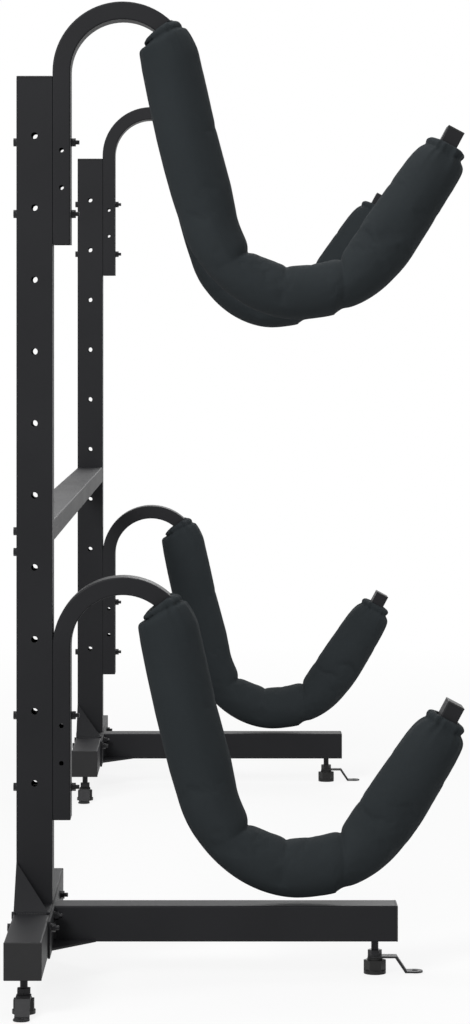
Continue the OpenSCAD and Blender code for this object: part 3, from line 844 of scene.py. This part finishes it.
def channel_point(turn):
    """Place on the oblong channel, at CHANNEL_ROOM from the steel."""
    half_u = ARM_T / 2 + CHANNEL_ROOM
    half_w = ARM_HALF_W + CHANNEL_ROOM
    u = (abs(math.cos(turn)) / half_u) ** CHANNEL_POWER
    w = (abs(math.sin(turn)) / half_w) ** CHANNEL_POWER
    reach = 1 / (u + w) ** (1 / CHANNEL_POWER)
    return reach * math.cos(turn), reach * math.sin(turn)


def gather(s, from_end, inside):
    """How far the padding has widened to its full size, where inside is 1 beside the kayak."""
    if from_end < HEM_GATHER[-1][0] * MM:
        return read_keys(HEM_GATHER, from_end)
    end = "hook" if s < sleeve_len / 2 else "tip"
    outer = read_keys(GATHER[end, "outside"], from_end)
    return outer + (read_keys(GATHER[end, "inside"], from_end) - outer) * inside


def skin_point(s, turn, row):
    """Place on the padding's outside, towards the kayak and across."""
    from_end = max(min(s, sleeve_len - s), 0)
    size = gather(s, from_end, (1 + math.cos(turn)) / 2)
    dip = crease_dip(s, turn) - pleat(turn, from_end, ROWS.index(row) * 5.0)
    dip += read_keys(TRIM[row], s) * MM * max(-math.cos(turn), 0)
    power = 2 + EXTRA_POWER * math.exp(-from_end / POWER_FADE)
    out = (abs(math.cos(turn)) ** power + abs(math.sin(turn)) ** power) ** (-1 / power)
    wide = 1 - (1 - size) * ACROSS_GATHER
    toward = read_keys(SHIFT, s) * MM + (size * read_keys(HALF, s) * MM - dip) * out * math.cos(turn)
    return toward, (wide * HALF_W - dip) * out * math.sin(turn)


# %% [markdown]
# The ring is then laid square to the arm's line. At the hook its hem is pulled a little askew, and
# behind the hook the padding is too thick to follow the whole bend, so it is eased straight there.

# %% Lay a ring on the arm
HOOK_END_SKEW = 0.33
SKEW_FADE = 60 * MM
UNBEND = 0.5
UNBEND_START = 9 * MM
UNBEND_FULL = 10 * MM
BEYOND_HOOK = 12 * MM
BEYOND_TIP = 9 * MM


def sleeve_point(s, share, turn, row):
    """Place of one corner of the sleeve, seen from the base of its arm."""
    u0, w0 = channel_point(turn)
    u1, w1 = skin_point(s, turn, row)
    u = u0 + (u1 - u0) * share
    w = w0 + (w1 - w0) * share
    lean = HOOK_END_SKEW * max(1 - max(s, 0) / SKEW_FADE, 0) * share
    station = max(leaned(s, turn) + lean * u, -BEYOND_HOOK)
    place, normal = on_arm(min(station, sleeve_len + BEYOND_TIP))
    point = place + u * normal
    if s < hook_run:
        unbent = back_top + (s - hook_run) * back_way + u * lean_out
        ease = min(max((s - UNBEND_START) / UNBEND_FULL, 0), 1) * max(-math.cos(turn), 0)
        point = point.lerp(unbent, UNBEND * ease * share)
    return Vector((point.x, w, point.y))


# %% [markdown]
# Sewing is an extrusion: a circle is made once, and each station extrudes its edges and puts the
# new corners in place. Every corner also remembers its distance along and its turn round.

# %% Sew the skin
RING_SIDES = 64


def sew_skin(row):
    """Open tube of cloth, with its distance along and turn round kept on each corner."""
    bm = bmesh.new()
    turn_layer = bm.verts.layers.float.new("turn")
    along_layer = bm.verts.layers.float.new("along")
    share_layer = bm.verts.layers.float.new("share")
    ring = bmesh.ops.create_circle(bm, cap_ends=False, segments=RING_SIDES, radius=1)["verts"]
    for vert in ring:
        vert[turn_layer] = math.atan2(vert.co.y, vert.co.x)
    edges = list(bm.edges)
    for i, (s, share) in enumerate(stations()):
        if i:
            made = bmesh.ops.extrude_edge_only(bm, edges=edges)["geom"]
            ring = {g for g in made if isinstance(g, bmesh.types.BMVert)}
            edges = [g for g in made if isinstance(g, bmesh.types.BMEdge)
                     and all(v in ring for v in g.verts)]
        for vert in ring:
            vert[along_layer] = s
            vert[share_layer] = share
            vert.co = sleeve_point(s, share, vert[turn_layer], row)
    bmesh.ops.recalc_face_normals(bm, faces=bm.faces)
    return bm


# %% [markdown]
# ## Let the foam push
# Real cloth doesn't follow a formula. So the sewn skin is handed to a cloth simulation: it is cut
# a little too large, held at both hems and along the creases, and blown out gently, as foam would
# push it. Between the held lines it swells and wrinkles by itself. No point may move further than
# a few millimetres, so the sleeve keeps its measured outline.

# %% Where the cloth is held
HEM_HOLD = 12 * MM
HEM_LET_GO = 10 * MM
CALM_BACK = 320 * MM  # the long side hangs taut
CALM_TIP = 110 * MM
ON_CREASE = 0.95
ABOVE_CREASE = 0.85
ABOVE_CREASE_MM = 75


def hold_weight(s, share, turn):
    """1 where the cloth is held fast, 0 where it is free."""
    if share < 1:
        return 1.0
    from_end = min(s, sleeve_len - s)
    held = min(max(1 - (from_end - HEM_HOLD) / HEM_LET_GO, 0), 1)
    for place, depth, width, lean, left in CREASES:
        on_line = abs(s / MM - place) < 1.0
        if on_line and (math.cos(turn) > 0.1 or left):
            held = max(held, ON_CREASE)
    first_crease = CREASES[0][0]
    if first_crease - ABOVE_CREASE_MM < s / MM < first_crease:
        held = max(held, ABOVE_CREASE * max(math.cos(turn), 0) ** 0.5)
    return held


def free_share(s):
    """Share of the swelling that is kept: none at the hems, all of it further in."""
    way = min((s - HEM_HOLD) / CALM_BACK, (sleeve_len - s - HEM_HOLD) / CALM_TIP)
    way = min(max(way, 0), 1)
    return way * way * (3 - 2 * way)


# %% [markdown]
# The simulation runs for a few frames, because it only has to find the folds, not to fall or come
# to rest. It has no gravity and no collision: the pressure inside stands for the foam. Nothing in
# it is drawn at random, but its sums may be added in another order, so a fold can lie a millimetre
# or two away in the next run.

# %% Let it swell
TOO_LARGE = 0.009
FRAMES = 20


def inflate(mesh, weights, push):
    """Runs the simulation on a trial object and gives how far each corner went."""
    scene = bpy.context.scene
    trial = bpy.data.objects.new("trial_skin", mesh)
    scene.collection.objects.link(trial)
    held = trial.vertex_groups.new(name="held")
    for index, weight in enumerate(weights):
        if weight > 0:
            held.add([index], weight, "REPLACE")
    cloth = trial.modifiers.new("cloth", "CLOTH")
    cloth.point_cache.frame_start = 1
    cloth.point_cache.frame_end = FRAMES
    how = cloth.settings
    how.quality = 5
    how.mass = 0.15
    how.tension_stiffness = 15
    how.compression_stiffness = 15
    how.shear_stiffness = 5
    how.bending_stiffness = 0.3
    how.use_pressure = True
    how.uniform_pressure_force = push
    how.shrink_min = -TOO_LARGE
    how.vertex_group_mass = "held"
    how.effector_weights.gravity = 0
    cloth.collision_settings.use_collision = False
    for frame_number in range(1, FRAMES + 1):
        scene.frame_set(frame_number)
    seen = trial.evaluated_get(bpy.context.evaluated_depsgraph_get())
    moved = np.empty(len(mesh.vertices) * 3)
    start = np.empty_like(moved)
    seen.data.vertices.foreach_get("co", moved)
    mesh.vertices.foreach_get("co", start)
    bpy.data.objects.remove(trial)
    scene.frame_set(1)
    return (moved - start).reshape(-1, 3)


# %% [markdown]
# Not all of the swelling is kept. Every corner's way is capped, so the outline stays as measured,
# and near the hems and down the taut long side only a share of it is left.

# %% Keep part of the swelling
MOST_MOVE = 6 * MM


def swell(mesh, weights, shares, push):
    """Gives the mesh its swollen shape, with every corner's way capped."""
    step = inflate(mesh, weights, push)
    size = np.linalg.norm(step, axis=1, keepdims=True)
    print("moved: middle", round(float(np.median(size)) / MM, 2), "mm")
    most = MOST_MOVE * (1.05 - np.array(weights).reshape(-1, 1))
    step *= np.minimum(1, most / np.maximum(size, 1e-9))
    step *= np.array(shares).reshape(-1, 1)
    start = np.empty(len(mesh.vertices) * 3)
    mesh.vertices.foreach_get("co", start)
    mesh.vertices.foreach_set("co", start + step.ravel())


# %% [markdown]
# ## Finish of the cloth
# The sleeve is black woven polyester, matt with a slight blue-green cast. The weave is two sets of
# sine waves over and under each other, laid along the sleeve by its own map, so it follows every
# fold. Folds rub paler, and lint and dust make the black uneven.

# %% Woven cloth
CLOTH_DARK = (0.0140, 0.0172, 0.0190)
CLOTH_LIGHT = (0.0250, 0.0294, 0.0322)
THREAD = 0.9 * MM
STITCH = 3.2 * MM
SEAM_HALF = 0.7 * MM
STITCH_HALF = 0.35 * MM
STITCH_FROM_SEAM = 4.5 * MM
STITCH_FROM_END = 21 * MM


def band(value, place, half):
    """1 where value is within half of place, otherwise 0."""
    return 1 - (value - place).size().above(half)


def woven_cloth():
    cloth = Finish("sleeve_cloth", Specular_IOR_Level=0.08)
    where = cloth.place(uv=True)
    warp = cloth.add("ShaderNodeSeparateXYZ", None, {"Vector": where}, output=0)
    weft = cloth.add("ShaderNodeSeparateXYZ", None, {"Vector": where}, output=1)
    beat = math.tau / THREAD
    over = (warp * beat).sine() * (weft * beat).sine()
    ribs = (warp * (2 * beat)).sine().size() * 0.5 + (weft * (2 * beat)).sine().size() * 0.5
    space = cloth.place()
    slow = cloth.noise(space, 9, 4.0, 0.6)
    lint = cloth.noise(space, 260, 3.0, 0.7)
    from_seam = math.pi * HALF_W - warp.size()
    from_hem = sleeve_len / 2 - (weft - sleeve_len / 2).size()
    seam = band(from_seam, 0.0, SEAM_HALF)
    dashes = math.tau / STITCH
    seam_stitch = band(from_seam, STITCH_FROM_SEAM, STITCH_HALF) * (weft * dashes).sine().above(-0.5)
    hem_stitch = band(from_hem, STITCH_FROM_END, STITCH_HALF) * (warp * dashes).sine().above(-0.5)
    stitches = seam_stitch.larger(hem_stitch)
    shade = slow * 0.65 + 0.2 * lint + 0.06 * over + 0.12 * stitches
    cloth.feed("Base Color", cloth.blend(shade, CLOTH_DARK, CLOTH_LIGHT))
    cloth.feed("Roughness", 0.80 + 0.12 * slow)
    weave = over * 0.6 + ribs * 0.4 + lint * 0.3
    cloth.bump(weave * 0.16 + 0.30 * stitches - 0.55 * seam, MM, 0.75)
    return cloth.material


cloth_finish = woven_cloth()
give_finish("sleeve_cloth", cloth_finish)

# %% [markdown]
# The weave needs a map. Distance round and distance along, both in metres, are all it takes, and
# the one seam lies at the back, where the turn jumps from half a turn to minus half a turn.


# %% Lay the map
def lay_map(bm):
    """Writes distances round and along the sleeve, in metres, as its map."""
    turn_layer = bm.verts.layers.float["turn"]
    along_layer = bm.verts.layers.float["along"]
    uv = bm.loops.layers.uv.new("weave")
    for face in bm.faces:
        turns = [loop.vert[turn_layer] for loop in face.loops]
        crosses = max(turns) - min(turns) > math.pi
        for loop, turn in zip(face.loops, turns):
            round_by = turn + (math.tau if crosses and turn < 0 else 0)
            loop[uv].uv = (round_by * HALF_W, loop.vert[along_layer])


# %% [markdown]
# Near and far sleeves are the same, so a skin is sewn and blown out once for a row and copied to
# both of its arms.

# %% Put a sleeve on its arm
FOAM_PUSH = 4.0


def make_sleeve(side, row, skin):
    """A copy of the skin, moved to its arm and put on the rack in place of the plain pad."""
    name = f"{side}_{row}_sleeve"
    low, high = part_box(f"{side}_{row}_arm")
    base = Vector((low.x + ARM_T / 2, (low.y + high.y) / 2, high.z - ARM_TOP_ABOVE_BASE))
    mesh = skin.copy()
    mesh.name = name
    mesh.transform(Matrix.Translation(base))
    mesh.materials.append(cloth_finish)
    mesh.shade_smooth()
    sleeve = bpy.data.objects.new(name, mesh)
    bpy.context.scene.collection.objects.link(sleeve)
    soften = sleeve.modifiers.new("soften", "SUBSURF")
    soften.levels = 1
    soften.render_levels = 1
    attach(sleeve, "rack")
    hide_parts(f"{side}_{row}_pad")
    return sleeve


for row in ROWS:
    bm = sew_skin(row)
    lay_map(bm)
    turn_of, along_of, share_of = (bm.verts.layers.float[k] for k in ("turn", "along", "share"))
    weights = [hold_weight(v[along_of], v[share_of], v[turn_of]) for v in bm.verts]
    shares = [free_share(v[along_of]) for v in bm.verts]
    skin = bpy.data.meshes.new(f"{row}_skin")
    bm.to_mesh(skin)
    bm.free()
    swell(skin, weights, shares, FOAM_PUSH)
    for side in SIDES:
        sleeve = make_sleeve(side, row, skin)
        print(sleeve.name, len(sleeve.data.polygons), "faces")


# %% [markdown]
# ## Floor and light
# A plain pale floor takes the shadow. The camera sees it and the world as white, so the rack
# stands on white as in a studio, and the gloss on its paint reflects that white too.

# %% White world
WORLD_LEVEL = 0.38


def seen_directly(nodes):
    """1 for rays from the camera and for what shines or shows through, otherwise 0."""
    from_camera = nodes.add("ShaderNodeLightPath", output="Is Camera Ray")
    shining = nodes.add("ShaderNodeLightPath", output="Is Glossy Ray")
    through = nodes.add("ShaderNodeLightPath", output="Is Transmission Ray")
    return from_camera.larger(shining).larger(through)


world = bpy.data.worlds.new("studio")
world.use_nodes = True
bpy.context.scene.world = world
sky = Nodes(world.node_tree)
background = sky.tree.nodes["Background"]
sky.join(background.inputs["Color"], (1, 1, 1, 1))
sky.join(background.inputs["Strength"], WORLD_LEVEL + (1 - WORLD_LEVEL) * seen_directly(sky))
print("light from all round:", WORLD_LEVEL)

# %% [markdown]
# The floor is pale grey under the lamps, so it takes the rack's shadow, and is mixed with plain
# white for the camera. The white takes over with distance, so no edge shows where the floor ends.

# %% Pale floor
FLOOR_SIZE = 40
FLOOR_GREY = 0.62
FLOOR_WHITE_SHARE = 0.86
WHITER_FROM = 1.6
WHITE_FROM = 4.0


def pale_floor():
    grey = (FLOOR_GREY, FLOOR_GREY, FLOOR_GREY, 1)
    pale = Finish("pale_floor", Base_Color=grey, Roughness=0.9, Specular_IOR_Level=0.1)
    far = pale.add("ShaderNodeVectorMath", {"operation": "LENGTH"}, {0: pale.place()}, output="Value")
    fade = pale.add("ShaderNodeMapRange", None, {
        "Value": far, "From Min": WHITER_FROM, "From Max": WHITE_FROM,
        "To Min": FLOOR_WHITE_SHARE, "To Max": 1.0,
    })
    white = pale.add("ShaderNodeEmission")
    lit = Value(pale, pale.shader.outputs[0])
    share = seen_directly(pale) * fade
    mixed = pale.add("ShaderNodeMixShader", None, {"Fac": share, 1: lit, 2: white})
    pale.join(pale.tree.nodes["Material Output"].inputs["Surface"], mixed)
    return pale.material


bm = bmesh.new()
bmesh.ops.create_grid(bm, x_segments=2, y_segments=2, size=FLOOR_SIZE / 2)
floor_mesh = bpy.data.meshes.new("floor")
bm.to_mesh(floor_mesh)
bm.free()
floor_mesh.materials.append(pale_floor())
floor = bpy.data.objects.new("floor", floor_mesh)
bpy.context.scene.collection.objects.link(floor)
print("floor is", FLOOR_SIZE, "m wide")

# %% [markdown]
# Four large soft lamps stand round the rack: the main one high in front on the left, a small one
# above, a weak one on the right, and one behind for the edges. Large lamps give soft shadows.


# %% Soft lamps
def soft_lamp(name, place, target, size, power):
    """A round area lamp that looks at a target."""
    data = bpy.data.lights.new(name, "AREA")
    data.shape = "DISK"
    data.size = size
    data.energy = power
    lamp = bpy.data.objects.new(name, data)
    bpy.context.scene.collection.objects.link(lamp)
    lamp.location = place
    lamp.rotation_euler = (Vector(target) - Vector(place)).to_track_quat("-Z", "Y").to_euler()
    print(name, power, "W")


soft_lamp("main_lamp", (-2.4, -4.4, 3.6), (0, -0.4, 0.7), 2.2, 270)
soft_lamp("top_lamp", (0.2, -0.6, 3.8), (0, -0.4, 0), 1.2, 45)
soft_lamp("right_lamp", (3.4, 0.2, 1.6), (0, -0.2, 0.6), 1.4, 30)
soft_lamp("back_lamp", (0.8, 4.6, 3.4), (0, 0, 0.6), 2.4, 90)

# %% [markdown]
# ## View settings
# Colours are shown as they are, with no film look.

# %% Settings of the view
bpy.context.scene.view_settings.view_transform = "Standard"
